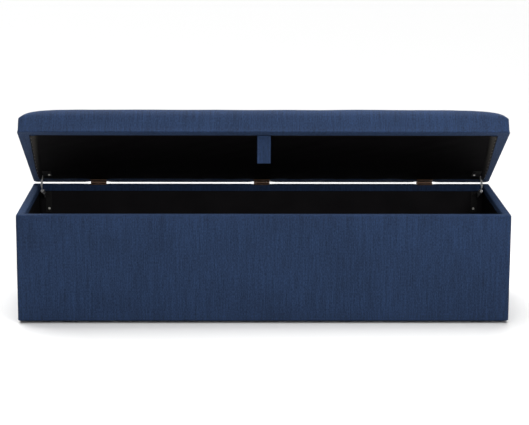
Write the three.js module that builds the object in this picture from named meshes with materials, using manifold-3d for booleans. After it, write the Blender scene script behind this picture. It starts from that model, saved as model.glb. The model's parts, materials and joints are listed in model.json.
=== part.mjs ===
// Storage bench: a fabric-covered box with a black-lined well and a padded lid on three hinges.
// Millimetres, +Z up, front face towards -Y. The lid is modelled standing part open.
import * as THREE from 'three';
import { mergeVertices } from 'three/addons/utils/BufferGeometryUtils.js';
import Module from 'manifold-3d';

// Driving dimensions
const WIDTH = 1500;
const DEPTH = 520;
const RIM_HEIGHT = 338;
const GLIDE_HEIGHT = 8;
const LID_ANGLE = 27.25; // degrees that the lid stands open

// Build-up of the walls, from the outside in
const GAP = 0.3; // clearance between neighbouring pieces
const SKIN = 4; // fabric over thin wadding
const BOARD = 16;
const LINING = 2;
const BASE_BOARD = 12;
const TURN_IN = 20; // how far the cover runs down inside the rim
const EDGE_ROUND = 5;
const CORNER_RADIUS = 8;

const boardOut = SKIN + GAP;
const boardIn = boardOut + BOARD;
const liningIn = boardIn + GAP + LINING;
const wellIn = boardIn + GAP + SKIN; // inner face of the padded rim
const coverFloor = GLIDE_HEIGHT + SKIN;
const baseLow = coverFloor + GAP;
const baseTop = baseLow + BASE_BOARD;
const panelLow = baseTop + GAP;
const panelTop = RIM_HEIGHT - SKIN - GAP;
const flapLow = RIM_HEIGHT - TURN_IN;

// Hinges
const LID_GAP = 6; // daylight between rim and lid at the hinges
const BARREL_RADIUS = 3.2;
const PIN_RADIUS = 1.6;
const PIN_PLAY = 0.12;
const HINGE_WIDTH = 52;
const KNUCKLES = 5;
const LEAF_LENGTH = 26;
const LEAF_THICKNESS = 1.5;
const HINGE_SPACING = 536;
const SCREW_SPREAD = 32;
const SCREW_REACH = 15; // from the pin to the leaf screws

const axisY = DEPTH + BARREL_RADIUS + GAP;
const axisZ = RIM_HEIGHT + LID_GAP / 2;
const hinges = { left: -HINGE_SPACING, middle: 0, right: HINGE_SPACING };

// Lid, measured from the hinge axis: forward is -Y, up is +Z, with the lid shut
const LID_EDGE = 50; // top of the upright sides
const LID_SHOULDER = 84;
const LID_CROWN = 89;
const END_ROUND = 70;
const FRONT_ROUND = 36;
const LID_BOARD = 15;
const LID_CORNER_RADIUS = 16;
const BORDER = { front: 30, side: 27, rearSide: 14, rear: 20 };

const lidRear = DEPTH - axisY;
const lidFront = -axisY;
const lidMiddle = (lidRear + lidFront) / 2;
const lidLow = LID_GAP / 2;
const BORDER_THICKNESS = 2;
const lidBoardLow = lidLow + BORDER_THICKNESS + GAP;
const lidFoamLow = lidBoardLow + LID_BOARD + GAP;

// Folding stays: a parallelogram with one corner on the hinge axis
const STAY_OFFSET = 709; // inner face of the lower arm
const ARM_THICKNESS = 2;
const ARM_WIDTH = 12;
const STUD_RADIUS = 2.4;
const HEAD_RADIUS = 4.5;
const HEAD_THICKNESS = 1.4;
const PLATE = 1.6;
const STAY_HEAD = { radius: 3.8, thickness: 2 };
const SCREW_MARGIN = 8; // from a stay bracket's inboard edge to its screws
const BOX_BRACKET = { width: 20, drop: 55, margin: 12, ear: 7 };
const LID_BRACKET = { width: 28, ahead: 44, behind: 10, ear: 8 };
const boxPivot = { y: axisY - 34, z: axisZ - 38 };
const lidPivot = { y: -78, z: -6 };

const GLIDE = { radius: 14, boss: 9, x: 700, inset: 50, chamfer: 2 };
const DUST_COVER = 1;
const LID_LINING = 1.3;
const HINGE_HEAD = { radius: 2.8, thickness: 1.1 };
const SHANK = { radius: 1.5, length: 15, point: 1, play: 0.3 };
const PULL_TAB = { width: 41, length: 84, thickness: 4, reach: 491, drop: 0.2 };

// Colour, roughness and metalness of each material
const looks = {
  fabric: [0x2c3c59, 0.95, 0],
  board: [0xb8925f, 0.75, 0],
  foam: [0xe6dfae, 0.9, 0],
  lining: [0x121113, 0.9, 0],
  bronze: [0x4a3a30, 0.45, 0.9],
  steel: [0x8d8d8f, 0.35, 0.95],
  screw: [0xc3c3c4, 0.25, 1],
  plastic: [0x17171a, 0.5, 0],
};

const wasm = await Module();
wasm.setup();

function toSolid(geometry) {
  const plain = new THREE.BufferGeometry();
  plain.setAttribute('position', geometry.getAttribute('position').clone());
  if (geometry.index) plain.setIndex(geometry.index.clone());
  const merged = mergeVertices(plain, 1e-4);
  const vertProperties = new Float32Array(merged.getAttribute('position').array);
  const triVerts = new Uint32Array(merged.index.array);
  return new wasm.Manifold(new wasm.Mesh({ numProp: 3, vertProperties, triVerts }));
}

function toGeometry(solid) {
  const { vertProperties, triVerts } = solid.getMesh();
  const geometry = new THREE.BufferGeometry();
  geometry.setAttribute('position', new THREE.BufferAttribute(new Float32Array(vertProperties), 3));
  geometry.setIndex(new THREE.BufferAttribute(new Uint32Array(triVerts), 1));
  geometry.computeVertexNormals();
  return geometry;
}

function combine(how, first, rest) {
  return toGeometry(rest.reduce((solid, tool) => solid[how](toSolid(tool)), toSolid(first)));
}

const cut = (body, ...tools) => combine('subtract', body, tools);
const join = (body, ...more) => combine('add', body, more);
const overlap = (body, ...more) => combine('intersect', body, more);

// Primitive shapes
function block([x0, x1], [y0, y1], [z0, z1]) {
  const geometry = new THREE.BoxGeometry(x1 - x0, y1 - y0, z1 - z0);
  return geometry.translate((x0 + x1) / 2, (y0 + y1) / 2, (z0 + z1) / 2);
}

// A block set in from the bench's outline by the same distance on all four sides
function inner(inset, low, high) {
  const half = WIDTH / 2 - inset;
  return block([-half, half], [inset, DEPTH - inset], [low, high]);
}

function rod(radius, length, axis, sides = 20) {
  const geometry = new THREE.CylinderGeometry(radius, radius, length, sides);
  if (axis === 'x') geometry.rotateZ(Math.PI / 2);
  if (axis === 'z') geometry.rotateX(Math.PI / 2);
  return geometry;
}

function roundedRect(width, depth, radius) {
  const x = width / 2 - radius;
  const y = depth / 2 - radius;
  const shape = new THREE.Shape();
  shape.absarc(x, y, radius, 0, Math.PI / 2, false);
  shape.absarc(-x, y, radius, Math.PI / 2, Math.PI, false);
  shape.absarc(-x, -y, radius, Math.PI, Math.PI * 1.5, false);
  shape.absarc(x, -y, radius, Math.PI * 1.5, Math.PI * 2, false);
  return shape;
}

function extrude(shape, depth, curveSegments = 6) {
  return new THREE.ExtrudeGeometry(shape, { depth, curveSegments, bevelEnabled: false });
}

// Turns an extrusion so that its drawing plane is X-Z or Y-Z
function stand(geometry, plane) {
  const x = new THREE.Vector3(1, 0, 0);
  const y = new THREE.Vector3(0, 1, 0);
  const z = new THREE.Vector3(0, 0, 1);
  const basis = new THREE.Matrix4();
  if (plane === 'xz') basis.makeBasis(x, z, y.negate());
  if (plane === 'yz') basis.makeBasis(y, z, x);
  return geometry.applyMatrix4(basis);
}

// The scene graph: the bench, and the lid standing open on the hinge axis
const bench = new THREE.Group();
const lid = new THREE.Group();
lid.position.set(0, axisY, axisZ);
lid.rotation.x = -THREE.MathUtils.degToRad(LID_ANGLE);
bench.add(lid);

function add(name, geometry, look, parent = bench) {
  const [color, roughness, metalness] = looks[look];
  const material = new THREE.MeshStandardMaterial({ color, roughness, metalness });
  const mesh = new THREE.Mesh(geometry, material);
  mesh.name = name;
  parent.add(mesh);
  return mesh;
}

// Screws, listed by the code that places them, so that the pieces they pass through get holes
const screws = [];
function screwGeometry({ radius, thickness }) {
  const outline = [
    new THREE.Vector2(0, 0),
    new THREE.Vector2(radius * 0.8, 0),
    new THREE.Vector2(radius, thickness * 0.5),
    new THREE.Vector2(radius, thickness),
    new THREE.Vector2(SHANK.radius, thickness),
    new THREE.Vector2(SHANK.radius, thickness + SHANK.length),
    new THREE.Vector2(0, thickness + SHANK.length + SHANK.point),
  ];
  return new THREE.LatheGeometry(outline, 14);
}

// Points a lathed screw along its direction and moves its head's outer face to a place
function aim(geometry, place, direction) {
  const turn = new THREE.Quaternion().setFromUnitVectors(new THREE.Vector3(0, 1, 0), direction);
  return geometry.applyQuaternion(turn).translate(place.x, place.y, place.z);
}

function addScrew(name, place, direction, head, parent) {
  screws.push({ name, place, direction, parent });
  add(name, aim(screwGeometry(head), place, direction), 'screw', parent);
}

// Clearance holes for every screw whose name matches
function screwHoles(pattern) {
  const reach = SHANK.length + SHANK.point + 5;
  return screws.filter(({ name }) => pattern.test(name)).map(({ place, direction }) => {
    const hole = rod(SHANK.radius + SHANK.play, reach, 'y', 12).translate(0, reach / 2, 0);
    return aim(hole, place, direction);
  });
}

const UP = new THREE.Vector3(0, 0, 1);
const DOWN = new THREE.Vector3(0, 0, -1);
const BACK = new THREE.Vector3(0, 1, 0);

// Hinges: a leaf with every second knuckle, drawn about the pin at the origin
function leaf(side, firstKnuckle) {
  const near = BARREL_RADIUS + GAP;
  const half = HINGE_WIDTH / 2;
  const faceNear = side * (lidLow - GAP - LEAF_THICKNESS);
  const faceFar = side * (lidLow - GAP);
  const layer = [Math.min(faceNear, faceFar), Math.max(faceNear, faceFar)];
  const pitch = HINGE_WIDTH / KNUCKLES;
  const pieces = [];
  for (let i = firstKnuckle; i < KNUCKLES; i += 2) {
    const start = -half + i * pitch + GAP / 2;
    const end = start + pitch - GAP;
    pieces.push(rod(BARREL_RADIUS, end - start, 'x', 24).translate((start + end) / 2, 0, 0));
    pieces.push(block([start, end], [-near - 1, -PIN_RADIUS], layer));
  }
  const plate = block([-half, half], [-LEAF_LENGTH, -near], layer);
  const bore = rod(PIN_RADIUS + PIN_PLAY, HINGE_WIDTH + 2, 'x', 24);
  const holes = [-1, 1].map((end) =>
    rod(HINGE_HEAD.radius + GAP, 10, 'z').translate(end * SCREW_SPREAD / 2, -SCREW_REACH, side * 5));
  return cut(join(plate, ...pieces), bore, ...holes);
}

function hinge(side, x) {
  const name = `hinge_${side}`;
  add(`${name}_box_leaf`, leaf(-1, 0).translate(x, axisY, axisZ), 'bronze');
  add(`${name}_lid_leaf`, leaf(1, 1).translate(x, 0, 0), 'bronze', lid);
  add(`${name}_pin`, rod(PIN_RADIUS, HINGE_WIDTH, 'x', 24).translate(x, axisY, axisZ), 'bronze');
  const face = lidLow - GAP - LEAF_THICKNESS;
  [-1, 1].forEach((end, i) => {
    const screwX = x + end * SCREW_SPREAD / 2;
    const onRim = new THREE.Vector3(screwX, axisY - SCREW_REACH, axisZ - face);
    addScrew(`${name}_box_screw_${i + 1}`, onRim, DOWN, HINGE_HEAD, bench);
    const onLid = new THREE.Vector3(screwX, -SCREW_REACH, face);
    addScrew(`${name}_lid_screw_${i + 1}`, onLid, UP, HINGE_HEAD, lid);
  });
}

// Stays: flat arms with round ends, drawn in Y-Z from one pivot to the other
function arm(from, to, inboard, hand) {
  const length = Math.hypot(to.y - from.y, to.z - from.z);
  const radius = ARM_WIDTH / 2;
  const shape = new THREE.Shape();
  shape.absarc(length, 0, radius, -Math.PI / 2, Math.PI / 2, false);
  shape.absarc(0, 0, radius, Math.PI / 2, Math.PI * 1.5, false);
  for (const end of [0, length]) {
    shape.holes.push(new THREE.Path().absarc(end, 0, STUD_RADIUS + GAP, 0, Math.PI * 2, true));
  }
  const flat = extrude(shape, ARM_THICKNESS, 10).rotateZ(Math.atan2(to.z - from.z, to.y - from.y));
  const x = hand > 0 ? inboard : -inboard - ARM_THICKNESS;
  return stand(flat, 'yz').translate(x, from.y, from.z);
}

// A rod along X between two distances from the middle of the bench
function crossRod(radius, [near, far], { y, z }, hand) {
  return rod(radius, far - near, 'x').translate(hand * (near + far) / 2, y, z);
}

function spanX([near, far], hand) {
  return hand > 0 ? [near, far] : [-far, -near];
}

const lowerArmX = [STAY_OFFSET, STAY_OFFSET + ARM_THICKNESS];
const upperArmX = [lowerArmX[1] + GAP, lowerArmX[1] + GAP + ARM_THICKNESS];

function boxBracket(name, hand) {
  const back = DEPTH - liningIn - GAP;
  const tab = [lowerArmX[0] - GAP - ARM_THICKNESS, lowerArmX[0] - GAP];
  const low = boxPivot.z - BOX_BRACKET.drop;
  const high = flapLow - ARM_THICKNESS;
  const plateX = [tab[1] - BOX_BRACKET.width, tab[1]];
  const plate = block(spanX(plateX, hand), [back - PLATE, back], [low, high]);
  const earY = [boxPivot.y - BOX_BRACKET.ear, back];
  const ear = block(spanX(tab, hand), earY, [boxPivot.z - BOX_BRACKET.ear, high]);
  const stud = crossRod(STUD_RADIUS, [tab[0], lowerArmX[1] + GAP], boxPivot, hand);
  const headEnds = [lowerArmX[1] + GAP, lowerArmX[1] + GAP + HEAD_THICKNESS];
  const rivet = crossRod(HEAD_RADIUS, headEnds, boxPivot, hand);
  const screwX = hand * (plateX[0] + SCREW_MARGIN);
  const headY = back - PLATE - STAY_HEAD.thickness - GAP / 3;
  [low + BOX_BRACKET.margin, high - BOX_BRACKET.margin].forEach((z, i) => {
    const place = new THREE.Vector3(screwX, headY, z);
    addScrew(`${name}_box_screw_${i + 1}`, place, BACK, STAY_HEAD, bench);
  });
  const holes = screwHoles(new RegExp(`${name}_box`));
  add(`${name}_box_bracket`, cut(join(plate, ear, stud, rivet), ...holes), 'steel');
}

function lidBracket(name, hand) {
  const face = lidLow - GAP;
  const { width, ahead, behind, ear: reach } = LID_BRACKET;
  const plateX = [lowerArmX[1] - width, lowerArmX[1]];
  const plateY = [lidPivot.y - ahead, lidPivot.y + behind];
  const plate = block(spanX(plateX, hand), plateY, [face - PLATE, face]);
  const earY = [lidPivot.y - reach, lidPivot.y + reach];
  const ear = block(spanX(lowerArmX, hand), earY, [lidPivot.z - reach, face]);
  const stud = crossRod(STUD_RADIUS, [lowerArmX[0], upperArmX[1] + GAP], lidPivot, hand);
  const headEnds = [upperArmX[1] + GAP, upperArmX[1] + GAP + HEAD_THICKNESS];
  const rivet = crossRod(HEAD_RADIUS, headEnds, lidPivot, hand);
  const screwX = hand * (plateX[0] + SCREW_MARGIN);
  const headZ = face - PLATE - STAY_HEAD.thickness - GAP / 3;
  [plateY[1] - 2 * SCREW_MARGIN, plateY[0] + SCREW_MARGIN].forEach((y, i) => {
    const place = new THREE.Vector3(screwX, y, headZ);
    addScrew(`${name}_lid_screw_${i + 1}`, place, UP, STAY_HEAD, lid);
  });
  const holes = screwHoles(new RegExp(`${name}_lid`));
  add(`${name}_lid_bracket`, cut(join(plate, ear, stud, rivet), ...holes), 'steel', lid);
}

function stay(side, hand) {
  const name = `stay_${side}`;
  const angle = -THREE.MathUtils.degToRad(LID_ANGLE);
  const axis = new THREE.Vector3(0, axisY, axisZ);
  const link = new THREE.Vector3(0, lidPivot.y, lidPivot.z);
  link.applyAxisAngle(new THREE.Vector3(1, 0, 0), angle);
  const top = link.clone().add(axis);
  const elbow = { y: boxPivot.y + link.y, z: boxPivot.z + link.z };
  boxBracket(name, hand);
  lidBracket(name, hand);
  add(`${name}_lower_arm`, arm(boxPivot, elbow, lowerArmX[0], hand), 'steel');
  add(`${name}_upper_arm`, arm(top, elbow, upperArmX[0], hand), 'steel');
  const inner = lowerArmX[0] - GAP;
  const outer = upperArmX[1] + GAP;
  const rivet = join(
    crossRod(STUD_RADIUS, [inner, outer], elbow, hand),
    crossRod(HEAD_RADIUS, [inner - HEAD_THICKNESS, inner], elbow, hand),
    crossRod(HEAD_RADIUS, [outer, outer + HEAD_THICKNESS], elbow, hand),
  );
  add(`${name}_elbow_rivet`, rivet, 'steel');
}

// Box
function walls() {
  const x = WIDTH / 2 - boardOut;
  const height = [panelLow, panelTop];
  add('front_panel', block([-x, x], [boardOut, boardIn], height), 'board');
  const backPanel = block([-x, x], [DEPTH - boardIn, DEPTH - boardOut], height);
  add('back_panel', cut(backPanel, ...screwHoles(/_box_screw/)), 'board');
  const between = [boardIn + GAP, DEPTH - boardIn - GAP];
  add('left_panel', block([-x, -x + BOARD], between, height), 'board');
  add('right_panel', block([x - BOARD, x], between, height), 'board');
  add('base_board', inner(boardOut, baseLow, baseTop), 'board');
}

function baseCover() {
  const size = 2 * EDGE_ROUND;
  const outline = roundedRect(WIDTH - size, DEPTH - size, CORNER_RADIUS - EDGE_ROUND);
  const outside = new THREE.ExtrudeGeometry(outline, {
    depth: RIM_HEIGHT - GLIDE_HEIGHT - size,
    bevelThickness: EDGE_ROUND,
    bevelSize: EDGE_ROUND,
    bevelSegments: 4,
    curveSegments: 4,
  }).translate(0, DEPTH / 2, GLIDE_HEIGHT + EDGE_ROUND);
  const channel = cut(
    inner(SKIN, flapLow - 1, RIM_HEIGHT - SKIN),
    inner(boardIn + GAP, flapLow - 2, RIM_HEIGHT),
  );
  const cavity = inner(SKIN, coverFloor, flapLow);
  const mouth = inner(wellIn, flapLow - 1, RIM_HEIGHT + 1);
  const underside = inner(wellIn, GLIDE_HEIGHT - 1, coverFloor + 1);
  const holes = screwHoles(/hinge_.*_box_screw/);
  add('base_cover', cut(outside, channel, cavity, mouth, underside, ...holes), 'fabric');
}

function wellLining() {
  const x = WIDTH / 2 - boardIn - GAP;
  const y = boardIn + GAP;
  const floorTop = panelLow + LINING;
  const height = [floorTop + GAP, flapLow - GAP];
  add('lining_floor', inner(boardIn + GAP, panelLow, floorTop), 'lining');
  add('lining_front', block([-x, x], [y, y + LINING], height), 'lining');
  const back = block([-x, x], [DEPTH - y - LINING, DEPTH - y], height);
  add('lining_back', cut(back, ...screwHoles(/stay_.*_box_screw/)), 'lining');
  const between = [y + LINING + GAP, DEPTH - y - LINING - GAP];
  add('lining_left', block([-x, -x + LINING], between, height), 'lining');
  add('lining_right', block([x - LINING, x], between, height), 'lining');
}

function underside() {
  const top = coverFloor;
  add('dust_cover', inner(wellIn + GAP, top - DUST_COVER, top), 'lining');
  const outline = [
    [0, 0], [GLIDE.radius - GLIDE.chamfer, 0],
    [GLIDE.radius, GLIDE.chamfer], [GLIDE.radius, GLIDE_HEIGHT],
    [GLIDE.boss, GLIDE_HEIGHT], [GLIDE.boss, top - DUST_COVER - GAP], [0, top - DUST_COVER - GAP],
  ].map(([x, y]) => new THREE.Vector2(x, y));
  for (const [side, x] of [['left', -GLIDE.x], ['right', GLIDE.x]]) {
    for (const [end, y] of [['front', GLIDE.inset], ['rear', DEPTH - GLIDE.inset]]) {
      const glide = new THREE.LatheGeometry(outline, 28).rotateX(Math.PI / 2).translate(x, y, 0);
      add(`glide_${end}_${side}`, glide, 'plastic');
    }
  }
}

// Lid
function crownProfile(half, low, round, drop) {
  const top = LID_SHOULDER - drop;
  const shape = new THREE.Shape();
  shape.moveTo(-half, low);
  shape.lineTo(-half, LID_EDGE);
  shape.absellipse(-half + round, LID_EDGE, round, top - LID_EDGE, Math.PI, Math.PI / 2, true);
  shape.quadraticCurveTo(0, 2 * (LID_CROWN - drop) - top, half - round, top);
  shape.absellipse(half - round, LID_EDGE, round, top - LID_EDGE, Math.PI / 2, 0, true);
  shape.lineTo(half, low);
  return shape;
}

// The padded lid's outside, set in by an inset all round and on top, from a height upwards
function loaf(inset, low) {
  const width = WIDTH - 2 * inset;
  const depth = DEPTH - 2 * inset;
  const height = LID_CROWN + 10;
  const ends = stand(extrude(crownProfile(width / 2, low, END_ROUND, inset), depth, 10), 'xz');
  const front = stand(extrude(crownProfile(depth / 2, low, FRONT_ROUND, inset), width, 10), 'yz');
  const plan = extrude(roundedRect(width, depth, LID_CORNER_RADIUS - inset / 2), height, 6);
  return overlap(
    plan.translate(0, lidMiddle, 0),
    ends.translate(0, lidMiddle + depth / 2, 0),
    front.translate(-width / 2, lidMiddle, 0),
  );
}

// The lining's outline on the lid's underside: the fabric border narrows towards the rear
function liningOutline(inset) {
  const half = WIDTH / 2 - inset;
  const front = lidFront + BORDER.front + inset;
  const rear = lidRear - BORDER.rear - inset;
  const shape = new THREE.Shape();
  shape.moveTo(-half + BORDER.side, front);
  shape.lineTo(half - BORDER.side, front);
  shape.lineTo(half - BORDER.rearSide, rear);
  shape.lineTo(-half + BORDER.rearSide, rear);
  return shape;
}

function lidPieces() {
  const size = 2 * boardOut;
  const outline = roundedRect(WIDTH - size, DEPTH - size, LID_CORNER_RADIUS - boardOut / 2);
  const panel = extrude(outline, LID_BOARD).translate(0, lidMiddle, lidBoardLow);
  add('lid_board', cut(panel, ...screwHoles(/_lid_screw/)), 'board', lid);
  add('lid_foam', loaf(boardOut, lidFoamLow), 'foam', lid);
  const opening = extrude(liningOutline(0), 10).translate(0, 0, -2);
  const cavity = loaf(SKIN, lidLow + BORDER_THICKNESS);
  const cover = cut(loaf(0, lidLow), cavity, opening, ...screwHoles(/hinge_.*_lid_screw/));
  add('lid_cover', cover, 'fabric', lid);
  const sheet = extrude(liningOutline(GAP), LID_LINING).translate(0, 0, lidLow + GAP);
  add('lid_lining', cut(sheet, ...screwHoles(/stay_.*_lid_screw/)), 'lining', lid);
}

function pullTab() {
  const { width, length, thickness, reach, drop } = PULL_TAB;
  const shape = new THREE.Shape();
  shape.absarc(0, 0, thickness / 2, 0, Math.PI, false);
  shape.absarc(0, -length + thickness / 2, thickness / 2, Math.PI, Math.PI * 2, false);
  const tab = stand(extrude(shape, width, 6), 'yz').translate(-width / 2, 0, 0);
  const mesh = add('pull_tab', tab, 'fabric', lid);
  mesh.position.set(0, -reach, drop);
  mesh.rotation.x = -lid.rotation.x;
}

for (const [side, x] of Object.entries(hinges)) hinge(side, x);
stay('left', -1);
stay('right', 1);
walls();
baseCover();
wellLining();
underside();
lidPieces();
pullTab();

// Put the origin under the middle of the whole bench, lid included
bench.updateMatrixWorld(true);
const middle = new THREE.Box3().setFromObject(bench, true).getCenter(new THREE.Vector3());
bench.position.y = -middle.y;

export default bench;
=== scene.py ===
import json
import math
import bpy
import numpy as np
from mathutils import Matrix, Vector


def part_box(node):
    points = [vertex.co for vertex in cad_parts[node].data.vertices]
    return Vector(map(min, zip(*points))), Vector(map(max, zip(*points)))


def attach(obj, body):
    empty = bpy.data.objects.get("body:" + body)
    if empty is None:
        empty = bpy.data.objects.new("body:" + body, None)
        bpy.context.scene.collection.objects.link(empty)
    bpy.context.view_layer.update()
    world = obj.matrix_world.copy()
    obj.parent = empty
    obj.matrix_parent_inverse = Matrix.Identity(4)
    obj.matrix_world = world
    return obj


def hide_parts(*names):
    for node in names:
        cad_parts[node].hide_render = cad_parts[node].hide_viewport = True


# Storage bench: indigo upholstered box and padded lid, black linings, bronze hinges, folding stays.
# Metres. The front faces -Y. Pieces on the lid are made lying flat, then turned with the lid.

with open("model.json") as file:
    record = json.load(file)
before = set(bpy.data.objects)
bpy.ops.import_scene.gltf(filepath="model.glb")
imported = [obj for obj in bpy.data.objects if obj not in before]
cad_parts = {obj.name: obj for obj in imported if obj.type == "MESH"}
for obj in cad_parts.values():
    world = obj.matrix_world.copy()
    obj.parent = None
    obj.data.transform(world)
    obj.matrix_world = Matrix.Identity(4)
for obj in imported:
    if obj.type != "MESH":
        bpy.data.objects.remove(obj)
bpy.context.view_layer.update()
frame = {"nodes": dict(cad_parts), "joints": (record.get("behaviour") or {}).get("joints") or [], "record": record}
nodes = frame["nodes"]
print("stage: frame loaded")

mm = 0.001
tightest = 1.5 * mm       # smallest radius of a corner inside another
handed = ("left", "right")
hingeNames = ("left", "middle", "right")


camera = {
    "place": (-0.091, -5.824, 1.470),
    "turn": -0.95,        # degrees about Z
    "down": 11.44,        # degrees below level
    "roll": 0.23,
    "lens": 127.6,
    "farthest": 50,
}
light = {
    "sky": 0.1,
    "floor": 0.64,
    "floorReach": 30,
    "sunAway": 8,
    "suns": {  # from behind: strength, degrees above the level, degrees to the left, softness
        "sunBehind": (4.5, 63, 22, 50),
        "sunAbove": (0.4, 89, 0, 40),
    },
    "panels": {
        "panelFront": {"place": (0.5, -5.5, 2.2), "size": (5, 1.6), "power": 105, "aim": (0, 0, 0.4)},
        "panelRight": {"place": (1.8, -3.8, 2.1), "size": (1.6, 1.6), "power": 44, "aim": (0, -0.2, 0.3)},
        "panelHigh": {"place": (1.3, -1.8, 3.0), "size": (2.0, 1.2), "power": 34, "aim": (0, -0.2, 0.3)},
        "panelNear": {"place": (0.3, -1.0, 1.9), "size": (3, 0.8), "power": 22, "aim": (0, -0.2, 0.2)},
    },
}


def addCamera():
    made = bpy.data.cameras.new("camera")
    made.lens = camera["lens"]
    made.clip_end = camera["farthest"]
    holder = bpy.data.objects.new("camera", made)
    bpy.context.scene.collection.objects.link(holder)
    turned = Matrix.Rotation(math.radians(camera["turn"]), 4, "Z")
    tipped = Matrix.Rotation(math.radians(90 - camera["down"]), 4, "X")
    rolled = Matrix.Rotation(math.radians(camera["roll"]), 4, "Z")
    holder.matrix_world = Matrix.Translation(camera["place"]) @ turned @ tipped @ rolled
    bpy.context.scene.camera = holder


def addLight(name, kind, place, aim, **settings):
    made = bpy.data.lights.new(name, kind)
    for key, value in settings.items():
        setattr(made, key, value)
    holder = bpy.data.objects.new(name, made)
    holder.visible_camera = False
    bpy.context.scene.collection.objects.link(holder)
    facing = (Vector(aim) - Vector(place)).to_track_quat("-Z", "Y")
    holder.matrix_world = Matrix.Translation(place) @ facing.to_matrix().to_4x4()


def addLights():
    for name, (strength, height, toLeft, softness) in light["suns"].items():
        tall, side = math.radians(height), math.radians(toLeft)
        reach = light["sunAway"] * math.cos(tall)
        place = (-reach * math.sin(side), reach * math.cos(side), light["sunAway"] * math.sin(tall))
        addLight(name, "SUN", place, (0, 0, 0), energy=strength, angle=math.radians(softness))
    for name, panel in light["panels"].items():
        width, depth = panel["size"]
        settings = {"shape": "RECTANGLE", "size": width, "size_y": depth, "energy": panel["power"]}
        addLight(name, "AREA", panel["place"], panel["aim"], **settings)


def addWorld():
    world = bpy.data.worlds.new("studio")
    world.use_nodes = True
    background = world.node_tree.nodes["Background"]
    background.inputs["Color"].default_value = (1, 1, 1, 1)
    background.inputs["Strength"].default_value = light["sky"]
    bpy.context.scene.world = world
    bpy.context.scene.view_settings.view_transform = "Standard"


class Wire:  # an output socket that adds Math nodes when it is used in an expression
    def __init__(self, finish, socket):
        self.finish = finish
        self.socket = socket

    def math(self, operation, *others, flip=False):
        terms = [*others, self] if flip else [self, *others]
        return self.finish.node("ShaderNodeMath", {"operation": operation}, dict(enumerate(terms)))

    def __add__(self, other):
        return self.math("ADD", other)

    def __sub__(self, other):
        return self.math("SUBTRACT", other)

    def __mul__(self, other):
        return self.math("MULTIPLY", other)

    def __pow__(self, other):
        return self.math("POWER", other)

    def __radd__(self, other):
        return self.math("ADD", other, flip=True)

    def __rsub__(self, other):
        return self.math("SUBTRACT", other, flip=True)

    def __rmul__(self, other):
        return self.math("MULTIPLY", other, flip=True)

    def __rpow__(self, other):
        return self.math("POWER", other, flip=True)

    def held(self):  # kept between 0 and 1
        return self.math("MINIMUM", 1).math("MAXIMUM", 0)


class Finish:  # one material, with a Principled shader and the nodes that feed it
    def __init__(self, name, **constants):
        self.material = bpy.data.materials.new(name)
        self.material.use_nodes = True
        self.tree = self.material.node_tree
        self.tree.nodes.clear()
        self.shader = self.tree.nodes.new("ShaderNodeBsdfPrincipled")
        output = self.tree.nodes.new("ShaderNodeOutputMaterial")
        self.tree.links.new(self.shader.outputs[0], output.inputs["Surface"])
        for socket, value in constants.items():
            self.shader.inputs[socket.replace("_", " ")].default_value = value

    def node(self, kind, settings=None, sockets=None, output=0):
        made = self.tree.nodes.new(kind)
        for name, value in (settings or {}).items():
            if name == "stops":
                self.setStops(made.color_ramp, value)
            else:
                setattr(made, name, value)
        for key, value in (sockets or {}).items():
            if isinstance(value, Wire):
                self.tree.links.new(value.socket, made.inputs[key])
            else:
                made.inputs[key].default_value = value
        return Wire(self, made.outputs[output])

    def setStops(self, ramp, stops):
        while len(ramp.elements) < len(stops):
            ramp.elements.new(1)
        for element, (place, colour) in zip(ramp.elements, stops):
            element.position = place
            element.color = (*colour, 1)

    def feed(self, **wires):
        for socket, wire in wires.items():
            self.tree.links.new(wire.socket, self.shader.inputs[socket.replace("_", " ")])

    def cloth(self):  # metres across and up the cloth
        return self.node("ShaderNodeUVMap", {"uv_map": "cloth"})

    def place(self):  # metres in the piece's own space
        return self.node("ShaderNodeTexCoord", output="Object")

    def scaled(self, where, scale):
        return self.node("ShaderNodeMapping", sockets={"Vector": where, "Scale": scale})

    def noise(self, where, scale, detail=2.0, rough=0.5):
        sockets = {"Vector": self.scaled(where, scale), "Scale": 1.0, "Detail": detail, "Roughness": rough}
        return self.node("ShaderNodeTexNoise", sockets=sockets)

    def parts(self, where):
        made = self.node("ShaderNodeSeparateXYZ", sockets={"Vector": where})
        return [Wire(self, socket) for socket in made.socket.node.outputs]

    def mix(self, share, first, second):  # two colours
        settings = {"data_type": "RGBA", "clamp_factor": True}
        return self.node("ShaderNodeMix", settings, {0: share, 6: first, 7: second}, output=2)

    def bump(self, height, strength, distance):
        sockets = {"Height": height, "Strength": strength, "Distance": distance}
        return self.node("ShaderNodeBump", sockets=sockets)


def rgb(red, green, blue):  # a screen colour, 0 to 255, as a linear one
    def linear(value):
        value = value / 255
        return value / 12.92 if value <= 0.04045 else ((value + 0.055) / 1.055) ** 2.4
    return (linear(red), linear(green), linear(blue), 1)


weave = {
    "deep": (8, 20, 39),
    "pale": (33, 53, 85),
    "thread": 1.1 * mm,       # from one thread to the next
    "slub": (2.8 * mm, 60 * mm),     # width and length of the streaks that run up the cloth
    "band": (7.5 * mm, 220 * mm),
    "fleck": (2.8 * mm, 7 * mm),
    "sheen": (120, 150, 200),
    "shine": 0.2,
    "relief": 0.5 * mm,
}


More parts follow.
